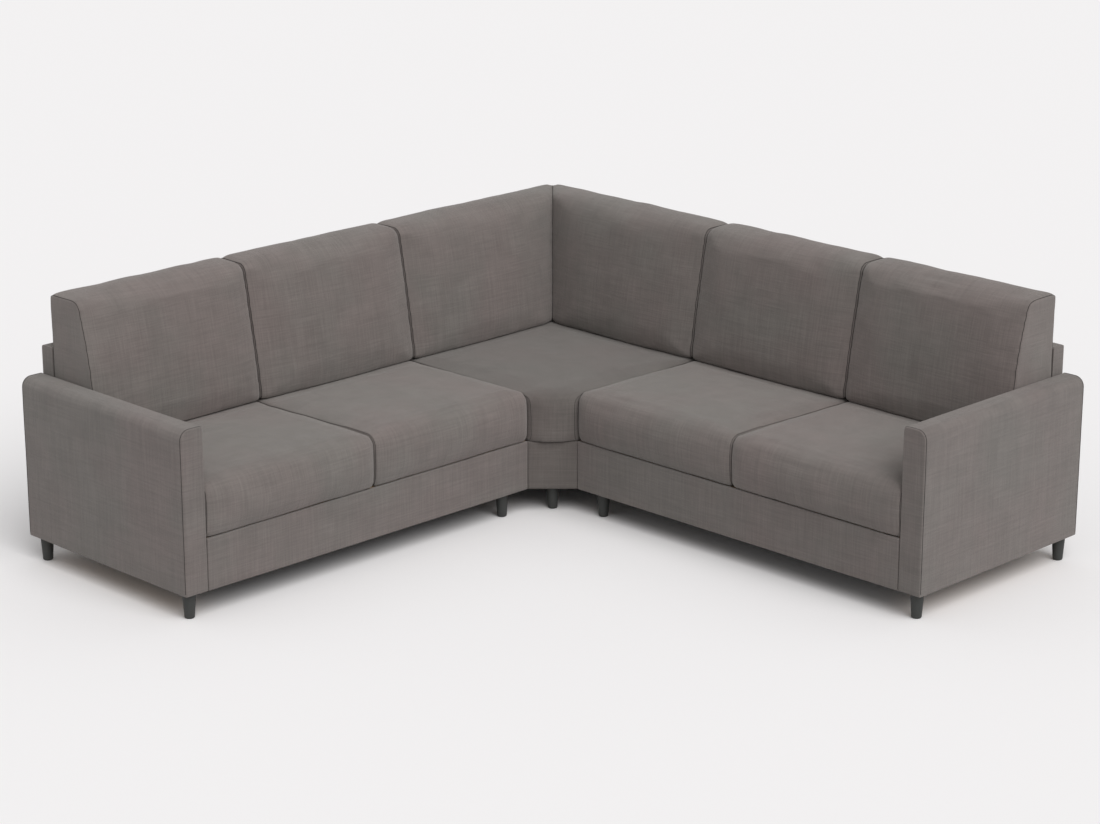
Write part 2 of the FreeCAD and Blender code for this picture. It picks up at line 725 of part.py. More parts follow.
def corner_nose(clip, high):
    """Round-edged disc whose rim is the bulged front of the corner seat."""
    half_width = (2 * high - clip) / DIAGONAL
    rim = (half_width ** 2 + SEAT_FRONT_BULGE ** 2) / (2 * SEAT_FRONT_BULGE)
    centre = (clip / DIAGONAL + SEAT_FRONT_BULGE - rim) / DIAGONAL
    disc = Part.makeCylinder(rim, SEAT_THICKNESS, at(centre, centre, SEAT_BOTTOM))
    edge = [e for e in disc.Edges if len(e.Vertexes) == 1 and near(e.Vertexes[0].Point.z, SEAT_TOP)]
    return disc.makeFillet(CORNER_NOSE_RADIUS, edge)


def corner_seat_cushion():
    """Clipped square cushion with a round nose, softened sides and a low domed crown."""
    high = CORNER_SIDE - CUSHION_SIDE_CLEARANCE / 2
    height = (SEAT_BOTTOM, SEAT_TOP)
    square = block((SEAT_BACK, high), (SEAT_BACK, high), height)
    clip = CLIP_SUM + SEAT_FRONT_OVERHANG * DIAGONAL
    start = clip - 2 * DIAGONAL * CORNER_NOSE_RADIUS
    corners = [(high, start - high), (high, high), (start - high, high), (high, start - high)]
    plan = Part.makePolygon([at(s, d, SEAT_BOTTOM) for s, d in corners])
    front = Part.Face(plan).extrude(Vector(0, 0, SEAT_THICKNESS))
    body = square.cut(front).fuse(front.common(corner_nose(clip, high))).removeSplitter()
    right = side_slope(high)
    body = body.cut(right).cut(mirrored(right))
    centre = (SEAT_REAR_FLAT + CORNER_SIDE) / 2
    reach = (CORNER_SIDE - SEAT_REAR_FLAT) / 2 - SEAT_CROWN_MARGIN
    radius = (reach ** 2 + SEAT_CROWN ** 2) / (2 * SEAT_CROWN)
    ball = Part.makeSphere(radius, at(centre, centre, SEAT_TOP + SEAT_CROWN - radius), Vector(1, 0, 0))
    span = (centre - CORNER_SIDE, centre + CORNER_SIDE)
    crown = ball.common(block(span, span, (SEAT_TOP, SEAT_TOP + 2 * SEAT_CROWN)))
    return body.fuse(crown)


def corner_back_cushion():
    """Back cushion mitred at the corner, where its end is rounded off."""
    gap = CUSHION_SIDE_CLEARANCE / 2 * DIAGONAL
    sections = []
    for offset, draw in edge_marks(BACK_EDGE_SHARES, MITRE_ROUND):
        swell = -draw * BACK_CUSHION_BULGE / 2
        sections.append(leaned_to_mitre(back_section(across_wing(gap + offset), draw, swell)))
    low = SEAT_BACK + BACK_CUSHION_FOOT
    span = (low, CORNER_SIDE - CUSHION_SIDE_CLEARANCE / 2)
    for s, draw, full in side_marks(span, BACK_EDGE_SHARES, CUSHION_EDGE_ROUND, CUSHION_EDGE_ROUND):
        if s > low + CUSHION_EDGE_ROUND:
            sections.append(back_section(across_wing(s), draw, full * BACK_CUSHION_BULGE))
    return Part.makeLoft(sections, True, True)


def joining_plates():
    """Flat steel plates over the two end rails of neighbouring units, between the straps."""
    rows = depth_straps()
    plates = []
    for first, second in zip(rows, rows[1:]):
        middle = (first + second) / 2
        span = (CORNER_SIDE - RAIL_THICKNESS, CORNER_SIDE + RAIL_THICKNESS)
        depth = (middle - PLATE_LENGTH / 2, middle + PLATE_LENGTH / 2)
        plates.append(block(span, depth, (RAIL_TOP, RAIL_TOP + PLATE_THICKNESS)))
    return group(plates)


def add_pair(name, shape):
    """One piece on the right wing and its mirror image on the left."""
    nodes["right_" + name] = shape
    nodes["left_" + name] = mirrored(shape)


def add_wings():
    division = CORNER_SIDE + SEAT_WIDTH
    add_pair("front_rail", wing_front_rail())
    add_pair("rear_rail", wing_rear_rail())
    add_pair("end_rails", wing_end_rails())
    add_pair("centre_rail", wing_centre_rail())
    add_pair("leg_blocks", wing_leg_blocks())
    add_pair("legs", legs(wing_leg_places()))
    add_pair("seat_webbing", wing_webbing())
    add_pair("base_cover", wing_base_cover())
    add_pair("dust_sheet", wing_dust_sheet())
    add_pair("arm_frame", wing_arm_frame())
    add_pair("arm_cover", wing_arm_cover())
    add_pair("arm_bolts", arm_bolts())
    add_pair("back_boards", back_boards(wing_back_span()))
    add_pair("back_posts", back_posts(wing_back_span()))
    add_pair("back_cover", back_cover((CORNER_SIDE, ARM_INNER), wing_back_span(), False))
    add_pair("inner_seat_cushion", wing_seat_cushion(CORNER_SIDE, division))
    add_pair("outer_seat_cushion", wing_seat_cushion(division, ARM_INNER))
    add_pair("inner_back_cushion", inner_back_cushion(CORNER_SIDE, division))
    add_pair("outer_back_cushion", outer_back_cushion(division, ARM_INNER))
    add_pair("joining_plates", joining_plates())


def add_corner():
    nodes["corner_rear_rails"] = corner_rear_rails()
    nodes["corner_side_rails"] = corner_side_rails()
    nodes["corner_front_rail"] = corner_front_rail()
    nodes["corner_leg_blocks"] = corner_leg_blocks()
    nodes["corner_legs"] = legs(corner_leg_places())
    nodes["corner_seat_webbing"] = corner_webbing()
    nodes["corner_base_cover"] = corner_base_cover()
    nodes["corner_dust_sheet"] = corner_dust_sheet()
    nodes["corner_seat_cushion"] = corner_seat_cushion()
    add_corner_pair("back_boards", back_boards(corner_back_span()))
    add_corner_pair("back_posts", back_posts(corner_back_span()))
    add_corner_pair("back_cover", back_cover((0, CORNER_SIDE), corner_back_span(), True))
    add_corner_pair("back_cushion", corner_back_cushion())


def add_corner_pair(name, shape):
    """One piece on the corner unit's right back and its mirror image on the left."""
    nodes["corner_right_" + name] = shape
    nodes["corner_left_" + name] = mirrored(shape)


def export():
    """Move the middle of the outline over the origin and write one file per piece."""
    os.makedirs("parts", exist_ok=True)
    shift = Vector(-WING_LENGTH / 2, WING_LENGTH / 2, 0)
    for name, shape in nodes.items():
        shape.translate(shift)
        shape.exportStep("parts/" + name + ".step")
        for solid in shape.Solids:
            if not solid.isValid() or solid.Volume <= 0:
                print("bad solid in", name)
    print(len(nodes), "pieces")


add_wings()
add_corner()
export()
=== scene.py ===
import bpy
import math
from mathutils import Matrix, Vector, noise


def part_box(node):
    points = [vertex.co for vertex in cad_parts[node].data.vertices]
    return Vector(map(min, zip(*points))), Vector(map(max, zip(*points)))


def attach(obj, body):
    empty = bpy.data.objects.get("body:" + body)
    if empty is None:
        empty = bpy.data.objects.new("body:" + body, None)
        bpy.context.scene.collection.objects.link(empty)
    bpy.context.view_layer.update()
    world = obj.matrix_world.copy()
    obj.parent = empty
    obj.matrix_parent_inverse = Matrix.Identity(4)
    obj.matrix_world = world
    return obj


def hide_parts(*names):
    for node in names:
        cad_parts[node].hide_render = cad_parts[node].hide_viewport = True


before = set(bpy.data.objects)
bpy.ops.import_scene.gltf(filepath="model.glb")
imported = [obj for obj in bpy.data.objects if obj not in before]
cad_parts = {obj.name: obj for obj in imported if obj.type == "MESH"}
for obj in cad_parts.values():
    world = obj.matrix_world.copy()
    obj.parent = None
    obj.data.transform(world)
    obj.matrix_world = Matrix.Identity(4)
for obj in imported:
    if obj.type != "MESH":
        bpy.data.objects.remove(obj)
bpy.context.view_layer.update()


# Studio. The sofa stands on a pale seamless floor that runs back past the top of the view, under
# one wide soft lamp high on the right and the even light of a white room.

FLOOR_TONE = (0.962, 0.948, 0.951, 1)
FLOOR_BOUNCE_TONE = (0.66, 0.65, 0.655, 1)
ROOM_LIGHT = 0.47
CAMERA_PLACE = (6.43671, -6.45444, 3.34258)
CAMERA_TURN = 2.35587
CAMERA_DIP = 0.30099
CAMERA_LENS = 95.43
CAMERA_SENSOR = 36
CAMERA_REACH = 200
FLOOR_SIZE = 120
LAMP_DIRECTION = Vector((0.636, -0.18, 0.75))
LAMP_STRENGTH = 1.93
LAMP_WIDTH = math.radians(50)


class Number:
    """What comes out of a node, with arithmetic that adds the Math nodes."""

    def __init__(self, finish, socket):
        self.finish = finish
        self.socket = socket

    def math(self, operation, *values):
        return self.finish.node("Math", {"operation": operation}, dict(enumerate(values)))

    def __add__(self, other):
        return self.math("ADD", self, other)

    def __radd__(self, other):
        return self.math("ADD", other, self)

    def __sub__(self, other):
        return self.math("SUBTRACT", self, other)

    def __rsub__(self, other):
        return self.math("SUBTRACT", other, self)

    def __mul__(self, other):
        return self.math("MULTIPLY", self, other)


class Finish:
    """A material with its main shader, and one short way to add and feed nodes."""

    def __init__(self, name):
        self.material = bpy.data.materials.new(name)
        self.material.use_nodes = True
        self.tree = self.material.node_tree
        self.shader = self.tree.nodes["Principled BSDF"]

    def node(self, kind, settings=None, sockets=None, out=0):
        made = self.tree.nodes.new("ShaderNode" + kind)
        for name, value in (settings or {}).items():
            setattr(made, name, value)
        for name, value in (sockets or {}).items():
            self.feed(made.inputs[name], value)
        return Number(self, made.outputs[out])

    def feed(self, socket, value):
        if isinstance(value, Number):
            self.tree.links.new(value.socket, socket)
        else:
            socket.default_value = value

    def place(self, stretch=(1, 1, 1)):
        where = self.node("TexCoord", out="Object")
        return self.node("Mapping", {}, {"Vector": where, "Scale": stretch})

    def cloud(self, scale, detail, stretch=(1, 1, 1)):
        sockets = {"Vector": self.place(stretch), "Scale": scale, "Detail": detail}
        return self.node("TexNoise", {}, sockets, "Fac")

    def blend(self, share, first, second, mode="MIX"):
        settings = {"data_type": "RGBA", "blend_type": mode}
        return self.node("Mix", settings, {0: share, 6: first, 7: second}, 2)

    def between(self, value, low, high, out_low=0.0, out_high=1.0):
        span_in = {"From Min": low, "From Max": high}
        span_out = {"To Min": out_low, "To Max": out_high}
        return self.node("MapRange", {}, {"Value": value, **span_in, **span_out})

    def set(self, **values):
        for name, value in values.items():
            self.feed(self.shader.inputs[name.replace("_", " ")], value)

    def relief(self, height, depth, strength=1.0):
        bump = self.node("Bump", {}, {"Height": height, "Distance": depth, "Strength": strength})
        self.feed(self.shader.inputs["Normal"], bump)


def only(*pieces):
    """Select these pieces alone and make the first one active."""
    bpy.ops.object.select_all(action="DESELECT")
    for piece in pieces:
        piece.select_set(True)
    bpy.context.view_layer.objects.active = pieces[0]


def wear(piece, finish):
    piece.data.materials.clear()
    piece.data.materials.append(finish.material)


floor_finish = Finish("seamless_floor")
seen_straight = floor_finish.node("LightPath", out="Is Camera Ray")
floor_colour = floor_finish.blend(seen_straight, FLOOR_BOUNCE_TONE, FLOOR_TONE)
floor_finish.set(Base_Color=floor_colour, Roughness=1.0)
floor_finish.shader.inputs["Specular IOR Level"].default_value = 0.0
bpy.ops.mesh.primitive_plane_add(size=FLOOR_SIZE, location=(0, 0, 0))
floor = bpy.context.object
floor.name = "studio_floor"
wear(floor, floor_finish)

room = bpy.data.worlds.new("white_room")
bpy.context.scene.world = room
room.use_nodes = True
room_glow = room.node_tree.nodes["Background"]
room_glow.inputs["Color"].default_value = (1, 1, 1, 1)
room_glow.inputs["Strength"].default_value = ROOM_LIGHT

bpy.ops.object.light_add(type="SUN")
lamp = bpy.context.object
lamp.name = "soft_lamp"
lamp.data.energy = LAMP_STRENGTH
lamp.data.angle = LAMP_WIDTH
lamp.rotation_euler = LAMP_DIRECTION.to_track_quat("Z", "Y").to_euler()

bpy.ops.object.camera_add(location=CAMERA_PLACE)
camera = bpy.context.object
camera.name = "studio_camera"
camera.data.sensor_width = CAMERA_SENSOR
camera.data.lens = CAMERA_LENS
camera.data.clip_end = CAMERA_REACH
camera.rotation_euler = (math.pi / 2 - CAMERA_DIP, 0, CAMERA_TURN - math.pi / 2)
bpy.context.scene.camera = camera
bpy.context.scene.view_settings.view_transform = "Standard"


# Loose seat cushions. Foam boxes in a sewn cover of plain woven cloth: a round front nose, a low
# crown, and ends drawn in at their seams. They lie side by side on the woven webbing.

HALF_SIDE = 1.2275
SEAT_UNDERSIDE = 0.2623
SEAT_REST_LEVEL = 0.4363
BACK_PLANE = 0.0583
BACK_CUSHION_FRONT = 0.292
SEAT_SPANS = {
    "right_inner_seat": (0.9575, 1.6615),
    "right_outer_seat": (1.6625, 2.3665),
    "left_inner_seat": (0.9575, 1.6615),
    "left_outer_seat": (1.6625, 2.3665),
    "corner_seat": (0.0583, 0.9565),
}
CORNER_NOSE_START = 0.93
SEAT_MESH_PITCH = 0.0105
SEAT_SWELL = 0.006
SEWN_MARGIN = 0.004
SEAT_SEWN_FOOT = 0.006
CLOTH_STEPS = 20
FOAM_PRESSURE = 4
THREAD_SCALE = 150
STREAK_FINE = 230
STREAK_LONG = 7
SLUB_FINE = 420
SLUB_LONG = 14
SHEEN_TINT = (0.9, 0.87, 0.84, 1)
cushions = []


def woven_cloth(name, tone, warm, cool):
    """Plain taupe upholstery cloth: fine crossed threads, thick and thin, on a mottled ground."""
    cloth = Finish(name)
    ground = cloth.blend(cloth.between(cloth.cloud(2.6, 4.0), 0.38, 0.62), warm, cool)
    mottle = cloth.between(cloth.cloud(11.0, 5.0), 0.3, 0.7, 0.94, 1.06)
    facing = cloth.node("TexCoord", out="Normal")
    runs = 0
    weave = 0
    for number, axis in enumerate("XYZ"):
        stretch = [STREAK_FINE if turn == number else STREAK_LONG for turn in range(3)]
        side_on = cloth.node("SeparateXYZ", {}, {"Vector": facing}, axis)
        crossing = 1 - side_on * side_on
        bands = {"wave_type": "BANDS", "bands_direction": axis}
        pattern = {"Vector": cloth.place(), "Scale": THREAD_SCALE, "Distortion": 1.2}
        thread = cloth.node("TexWave", bands, pattern, "Fac")
        runs = runs + (cloth.cloud(1.0, 3.0, stretch) - 0.5) * crossing
        weave = weave + (thread - 0.5) * crossing
    threads = cloth.between(runs, -0.25, 0.25, 0.88, 1.12)
    level = cloth.cloud(1.0, 1.0, (SLUB_LONG, SLUB_LONG, SLUB_FINE))
    upright = cloth.cloud(1.0, 1.0, (SLUB_FINE, SLUB_LONG, SLUB_LONG))
    flecks = cloth.between(level * upright, 0.33, 0.5, 1.0, 1.1)
    shade = mottle * threads * flecks
    grey = cloth.node("CombineColor", {}, {"Red": shade, "Green": shade, "Blue": shade})
    colour = cloth.blend(1.0, ground, tone, "MULTIPLY")
    cloth.set(
        Base_Color=cloth.blend(1.0, colour, grey, "MULTIPLY"),
        Roughness=cloth.between(runs, -0.25, 0.25, 0.82, 0.97))
    cloth.shader.inputs["Sheen Weight"].default_value = 0.35
    cloth.shader.inputs["Sheen Roughness"].default_value = 0.5
    cloth.shader.inputs["Sheen Tint"].default_value = SHEEN_TINT
    cloth.shader.inputs["Specular IOR Level"].default_value = 0.2
    cloth.relief(weave * 0.35 + runs * 0.6 + cloth.cloud(34.0, 3.0) * 0.8, 0.0011, 0.8)
    return cloth


cushion_cloth = woven_cloth(
    "cushion_cloth", (0.187, 0.165, 0.155, 1), (1.03, 0.985, 0.985, 1), (0.965, 1.0, 0.985, 1))
# The corner copy is the same cloth painted about a quarter darker. This is painted shade: the shade of
# the inner corner between the two backs on the corner seat, and a duller look on the corner apron,
# which faces the view head on.
corner_painted_shade_cloth = woven_cloth(
    "corner_painted_shade_cloth", (0.141, 0.126, 0.118, 1), (1.02, 0.99, 0.985, 1), (0.975, 1.0, 0.985, 1))


def from_back_corner(piece_name, point):
    """How far a point lies along its wing from the back corner, and out from the back plane."""
    along_x = point.x + HALF_SIDE
    along_y = HALF_SIDE - point.y
    if "left" in piece_name:
        return along_y, along_x
    return along_x, along_y


def fresh_form(node, voxel):
    """A fresh even mesh over a node's solid form."""
    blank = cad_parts[node].copy()
    blank.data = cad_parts[node].data.copy()
    blank.parent = None
    blank.name = node.replace("_cushion", "") + "_pad"
    for key in list(blank.keys()):
        del blank[key]
    bpy.context.scene.collection.objects.link(blank)
    only(blank)
    bpy.ops.object.mode_set(mode="EDIT")
    bpy.ops.mesh.select_all(action="SELECT")
    bpy.ops.mesh.remove_doubles(threshold=0.00002)
    bpy.ops.object.mode_set(mode="OBJECT")
    even = blank.modifiers.new("Even", "REMESH")
    even.mode = "VOXEL"
    even.voxel_size = voxel
    bpy.ops.object.modifier_apply(modifier="Even")
    relax = blank.modifiers.new("Relax", "SMOOTH")
    relax.factor = 0.5
    relax.iterations = 4
    bpy.ops.object.modifier_apply(modifier="Relax")
    return blank


def fill_with_foam(piece, sewn):
    """Pin the sewn edges and let the filling press the cloth out between them."""
    pins = piece.vertex_groups.new(name="sewn")
    held = [v.index for v in piece.data.vertices if sewn(piece.name, v.co)]
    pins.add(held, 1.0, "REPLACE")
    cloth = piece.modifiers.new("Filling", "CLOTH")
    cloth.settings.use_pressure = True
    cloth.settings.uniform_pressure_force = FOAM_PRESSURE
    cloth.settings.effector_weights.gravity = 0
    cloth.settings.vertex_group_mass = "sewn"
    cloth.point_cache.frame_start = 1
    cloth.point_cache.frame_end = CLOTH_STEPS


def seat_sewn(name, point):
    along, out = from_back_corner(name, point)
    low, high = SEAT_SPANS[name.replace("_pad", "")]
    beside = min(along - low, high - along) < SEWN_MARGIN
    if name == "corner_seat_pad":
        beside = beside or min(out - low, high - out) < SEWN_MARGIN
    return beside or point.z < SEAT_UNDERSIDE + SEAT_SEWN_FOOT or out < BACK_CUSHION_FRONT


for name in SEAT_SPANS:
    pad = fresh_form(name + "_cushion", SEAT_MESH_PITCH)
    fill_with_foam(pad, seat_sewn)
    cushions.append((pad, name, SEAT_SWELL))


# Loose back cushions. Foam and fibre in the same cloth, leaning on the padded backs and standing
# on the seat cushions. The end beside each arm is boxed, and the corner pair is cut at a mitre.

BACK_UNDERSIDE = 0.4366
MITRE_GAP = 0.0007
MITRE_GRIP = 0.0045
MITRE_SEWN = 0.006
BACK_MESH_PITCH = 0.0085
BACK_SWELL = 0.009
BACK_SEWN_FOOT = 0.005
BACK_TOP_ZONE = 0.86
BROAD_RIPPLE = (0.0017, 7.0)
FINE_RIPPLE = (0.0008, 19.0)
TOP_RIPPLE = (0.0022, 10.0)
DRAWN_PASSES = 12
BACK_SPANS = {
    "right_inner_back": (0.9575, 1.6615),
    "right_outer_back": (1.6625, 2.3665),
    "left_inner_back": (0.9575, 1.6615),
    "left_outer_back": (1.6625, 2.3665),
    "corner_right_back": (0.0583, 0.9565),
    "corner_left_back": (0.0583, 0.9565),
}


def back_sewn(name, point):
    along, out = from_back_corner(name, point)
    low, high = BACK_SPANS[name.replace("_pad", "")]
    beside = min(along - low, high - along) < SEWN_MARGIN
    if "corner" in name:
        beside = high - along < SEWN_MARGIN or along - out < MITRE_SEWN
    return beside or point.z < BACK_UNDERSIDE + BACK_SEWN_FOOT or out < BACK_PLANE + SEWN_MARGIN


for name in BACK_SPANS:
    pad = fresh_form(name + "_cushion", BACK_MESH_PITCH)
    fill_with_foam(pad, back_sewn)
    cushions.append((pad, name, BACK_SWELL))

resting = [[v.co.copy() for v in pad.data.vertices] for pad, name, swell in cushions]
for step in range(1, CLOTH_STEPS + 1):
    bpy.context.scene.frame_set(step)


def uneven(ripple, point, pull):
    """A ripple's height at a point, from its depth, its scale and a shift of its pattern."""
    depth, scale = ripple
    return depth * noise.noise(point * scale + pull)


def settle(piece, name, rest, swell):
    """Cap how far the filling moved the cloth and keep the cushion in its own space."""
    seat = name.endswith("seat")
    low, high = (SEAT_SPANS if seat else BACK_SPANS)[name]
    pull = Vector((17.3, 4.1, 8.6)) * (1 + len(name) + ord(name[0]) % 7)
    normals = [v.normal.copy() for v in piece.data.vertices]
    for index, vertex in enumerate(piece.data.vertices):
        move = vertex.co - rest[index]
        if move.length > swell:
            move = move.normalized() * swell
        point = rest[index] + move
        height = uneven(BROAD_RIPPLE, point, pull) + uneven(FINE_RIPPLE, point, pull)
        if not seat and point.z > BACK_TOP_ZONE:
            height += uneven(TOP_RIPPLE, point, -pull)
        point = point + normals[index] * height
        along, out = from_back_corner(name, point)
        along = min(max(along, low), high)
        if name == "corner_seat":
            out = max(out, low)
            if along < CORNER_NOSE_START:
                out = min(out, high)
        out = max(out, BACK_PLANE)
        if seat:
            point.z = max(point.z, SEAT_UNDERSIDE)
            covered = out < BACK_CUSHION_FRONT
            if name == "corner_seat":
                covered = covered or along < BACK_CUSHION_FRONT
            if covered:
                point.z = min(point.z, SEAT_REST_LEVEL)
        else:
            point.z = max(point.z, BACK_UNDERSIDE)
            if "corner" in name and along - out < MITRE_GRIP:
                middle = (along + out) / 2
                along = middle + MITRE_GAP / 2
                out = middle - MITRE_GAP / 2
        if "left" in name:
            vertex.co = Vector((out - HALF_SIDE, HALF_SIDE - along, point.z))
        else:
            vertex.co = Vector((along - HALF_SIDE, HALF_SIDE - out, point.z))


for (pad, name, swell), rest in zip(cushions, resting):
    only(pad)
    bpy.ops.object.modifier_apply(modifier="Filling")
    drawn = pad.modifiers.new("Drawn", "SMOOTH")
    drawn.vertex_group = "sewn"
    drawn.invert_vertex_group = True
    drawn.iterations = DRAWN_PASSES
    bpy.ops.object.modifier_apply(modifier="Drawn")
    settle(pad, name, rest, swell)
    finer = pad.modifiers.new("Finer", "SUBSURF")
    finer.levels = 1
    finer.render_levels = 1
    bpy.ops.object.modifier_apply(modifier="Finer")
    bpy.ops.object.shade_smooth()
    # The corner seat wears the darker copy of the cloth, painted corner shade.
    wear(pad, corner_painted_shade_cloth if name == "corner_seat" else cushion_cloth)
    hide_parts(name + "_cushion")
    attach(pad, name)
bpy.context.scene.frame_set(1)


# Seams. Where two pieces of cover meet, the sewn edge shows as a thin dark line. Each is a fine
# cord that follows the finished surface, cut from it at the seam's plane. The near-black cord is
# painted shade of the seam's groove.

SEAM_RADIUS = 0.0011
SEAT_SEAM_RADIUS = 0.0007
SEAM_INSET = 0.003
SEAM_FOOT = 0.004
# Near-black cord colour: painted shade standing for the shadow in each seam's groove.
seam_thread = Finish("seam_thread")
seam_thread.set(Base_Color=(0.03, 0.027, 0.025, 1), Roughness=0.9)
seam_thread.relief(seam_thread.cloud(900.0, 1.0), 0.0003)


def seam(piece, name, point, normal, body, keep, radius=SEAM_RADIUS):
    """A dark cord along the line where a plane meets the piece, painted shade of the seam's groove."""
    line = piece.copy()
    line.data = piece.data.copy()
    line.parent = None
    line.name = name
    for key in list(line.keys()):
        del line[key]
    bpy.context.scene.collection.objects.link(line)
    only(line)
    bpy.ops.object.mode_set(mode="EDIT")
    bpy.ops.mesh.select_all(action="SELECT")
    bpy.ops.mesh.bisect(plane_co=point, plane_no=normal, clear_inner=True, clear_outer=True)
    bpy.ops.mesh.select_all(action="SELECT")
    bpy.ops.mesh.remove_doubles(threshold=0.0005)
    bpy.ops.mesh.select_all(action="DESELECT")
    bpy.ops.object.mode_set(mode="OBJECT")
    for vertex in line.data.vertices:
        vertex.select = not keep(vertex.co)
    bpy.ops.object.mode_set(mode="EDIT")
    bpy.ops.mesh.delete(type="VERT")
    bpy.ops.object.mode_set(mode="OBJECT")
    bpy.ops.object.convert(target="CURVE")
    line = bpy.context.object
    line.data.bevel_depth = radius
    line.data.bevel_resolution = 2
    line.data.use_fill_caps = True
    bpy.ops.object.convert(target="MESH")
    line = bpy.context.object
    bpy.ops.object.shade_smooth()
    wear(line, seam_thread)
    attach(line, body)
    return line


# Dark cords near each cushion end: painted seam-groove shade.
for pad, name, swell in cushions:
    seat = name.endswith("seat")
    low, high = (SEAT_SPANS if seat else BACK_SPANS)[name]
    foot = (SEAT_UNDERSIDE if seat else BACK_UNDERSIDE) + SEAM_FOOT
    radius = SEAT_SEAM_RADIUS if seat else SEAM_RADIUS
    ends = [high - SEAM_INSET]
    if "corner" not in name:
        ends.append(low + SEAM_INSET)
    for number, end in enumerate(ends):
        across_x = ((end - HALF_SIDE, 0, 0), (1, 0, 0))
        across_y = ((0, HALF_SIDE - end, 0), (0, 1, 0))
        planes = [across_y if "left" in name else across_x]
        if name == "corner_seat":
            planes = [across_x, across_y]
        for turn, (point, normal) in enumerate(planes):
            line_name = f"{name}_seam_{number}{turn}"
            seam(pad, line_name, point, normal, name, lambda co: co.z > foot, radius)


# Mitre piping. A covered cord sewn down the rear edge of the right corner cushion fills the
# groove where the two corner cushions meet.

PIPING_RADIUS = 0.004
PIPING_SPAN = (0.73, 0.897)
PIPING_REAR = BACK_PLANE + 0.0035
PIPING_END_ROUND = 0.003
SHARP_ANGLE = math.radians(50)
bpy.ops.object.select_all(action="DESELECT")
bpy.ops.mesh.primitive_cylinder_add(
    vertices=32, radius=PIPING_RADIUS, depth=PIPING_SPAN[1] - PIPING_SPAN[0],
    location=(PIPING_REAR - HALF_SIDE, HALF_SIDE - PIPING_REAR, sum(PIPING_SPAN) / 2))
piping = bpy.context.object
piping.name = "mitre_piping"
bpy.ops.object.transform_apply(location=True)
bpy.ops.object.mode_set(mode="EDIT")
bpy.ops.mesh.select_mode(type="EDGE")
bpy.ops.mesh.select_all(action="DESELECT")
bpy.ops.mesh.edges_select_sharp(sharpness=SHARP_ANGLE)
bpy.ops.mesh.bevel(offset=PIPING_END_ROUND, segments=5, affect="EDGES")
bpy.ops.object.mode_set(mode="OBJECT")
bpy.ops.object.shade_smooth()
wear(piping, cushion_cloth)
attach(piping, "corner_right_back")


# Arms. Slim upright panels: a timber frame under thin foam, in the same cloth, with a round outer
# top edge and a separate facing sewn in at the front and the rear.

PADDING_PITCH = 0.05
ARM_OUTER_ROUND = 0.034
ARM_INNER_ROUND = 0.014
ARM_SWELL = 0.0008
FACING_ROUND = 0.0055
FACING_SEAM_INSET = 0.0064
FACING_SEAM_FOOT = 0.008
RUNG_LENGTH = 0.08
TIGHT_ROUND = 0.0015
TOUCHING = 1e-5
cover_cloth = woven_cloth(
    "cover_cloth", (0.178, 0.158, 0.149, 1), (1.03, 0.985, 0.985, 1), (0.97, 1.0, 0.985, 1))


def edges_where(piece, test):
    """Select in edit mode the edges whose both ends pass a test, and nothing else."""
    bpy.ops.object.mode_set(mode="EDIT")
    bpy.ops.mesh.select_mode(type="EDGE")
    bpy.ops.mesh.select_all(action="DESELECT")
    bpy.ops.object.mode_set(mode="OBJECT")
    for edge in piece.data.edges:
        ends = [piece.data.vertices[i].co for i in edge.vertices]
        edge.select = test(ends[0], ends[1])
    bpy.ops.object.mode_set(mode="EDIT")


def ruled_block(name, low, high, pitch):
    """A block cut across at a steady pitch each way, ready to be rounded and dented."""
    size = [b - a for a, b in zip(low, high)]
    middle = [(a + b) / 2 for a, b in zip(low, high)]
    bpy.ops.object.select_all(action="DESELECT")
    bpy.ops.mesh.primitive_cube_add(size=1, location=middle, scale=size)
    piece = bpy.context.object
    piece.name = name
    bpy.ops.object.transform_apply(location=True, rotation=True, scale=True)
    for axis in range(3):
        cuts = int(size[axis] / pitch) - 1
        if cuts < 1:
            continue
        edges_where(piece, lambda a, b: abs(a[axis] - b[axis]) > size[axis] * 0.9)
        bpy.ops.mesh.subdivide(number_cuts=cuts)
        bpy.ops.object.mode_set(mode="OBJECT")
    return piece


def round_edges(piece, radius, steps, test):
    edges_where(piece, test)
    bpy.ops.mesh.bevel(offset=radius, segments=steps, affect="EDGES")
    bpy.ops.object.mode_set(mode="OBJECT")


def both_at(axis, value):
    return lambda a, b: abs(a[axis] - value) < TOUCHING and abs(b[axis] - value) < TOUCHING


def soften(piece, depth):
    """Tight small rounds on the edges left sharp, uneven swells of the padding, then smoothing."""
    only(piece)
    bpy.ops.object.mode_set(mode="EDIT")
    bpy.ops.mesh.select_mode(type="EDGE")
    bpy.ops.mesh.select_all(action="DESELECT")
    bpy.ops.mesh.edges_select_sharp(sharpness=SHARP_ANGLE)
    bpy.ops.mesh.bevel(offset=TIGHT_ROUND, segments=2, affect="EDGES")
    bpy.ops.object.mode_set(mode="OBJECT")
    normals = [v.normal.copy() for v in piece.data.vertices]
    for vertex, normal in zip(piece.data.vertices, normals):
        swell = noise.noise(vertex.co * 5.0) + 0.5 * noise.noise(vertex.co * 14.0)
        vertex.co += normal * depth * (swell - 0.6)
    finer = piece.modifiers.new("Finer", "SUBSURF")
    finer.levels = 2
    finer.render_levels = 2
    bpy.ops.object.modifier_apply(modifier="Finer")
    bpy.ops.object.shade_smooth()


def dress(piece, node, finish):
    wear(piece, finish)
    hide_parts(node)
    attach(piece, "frame")


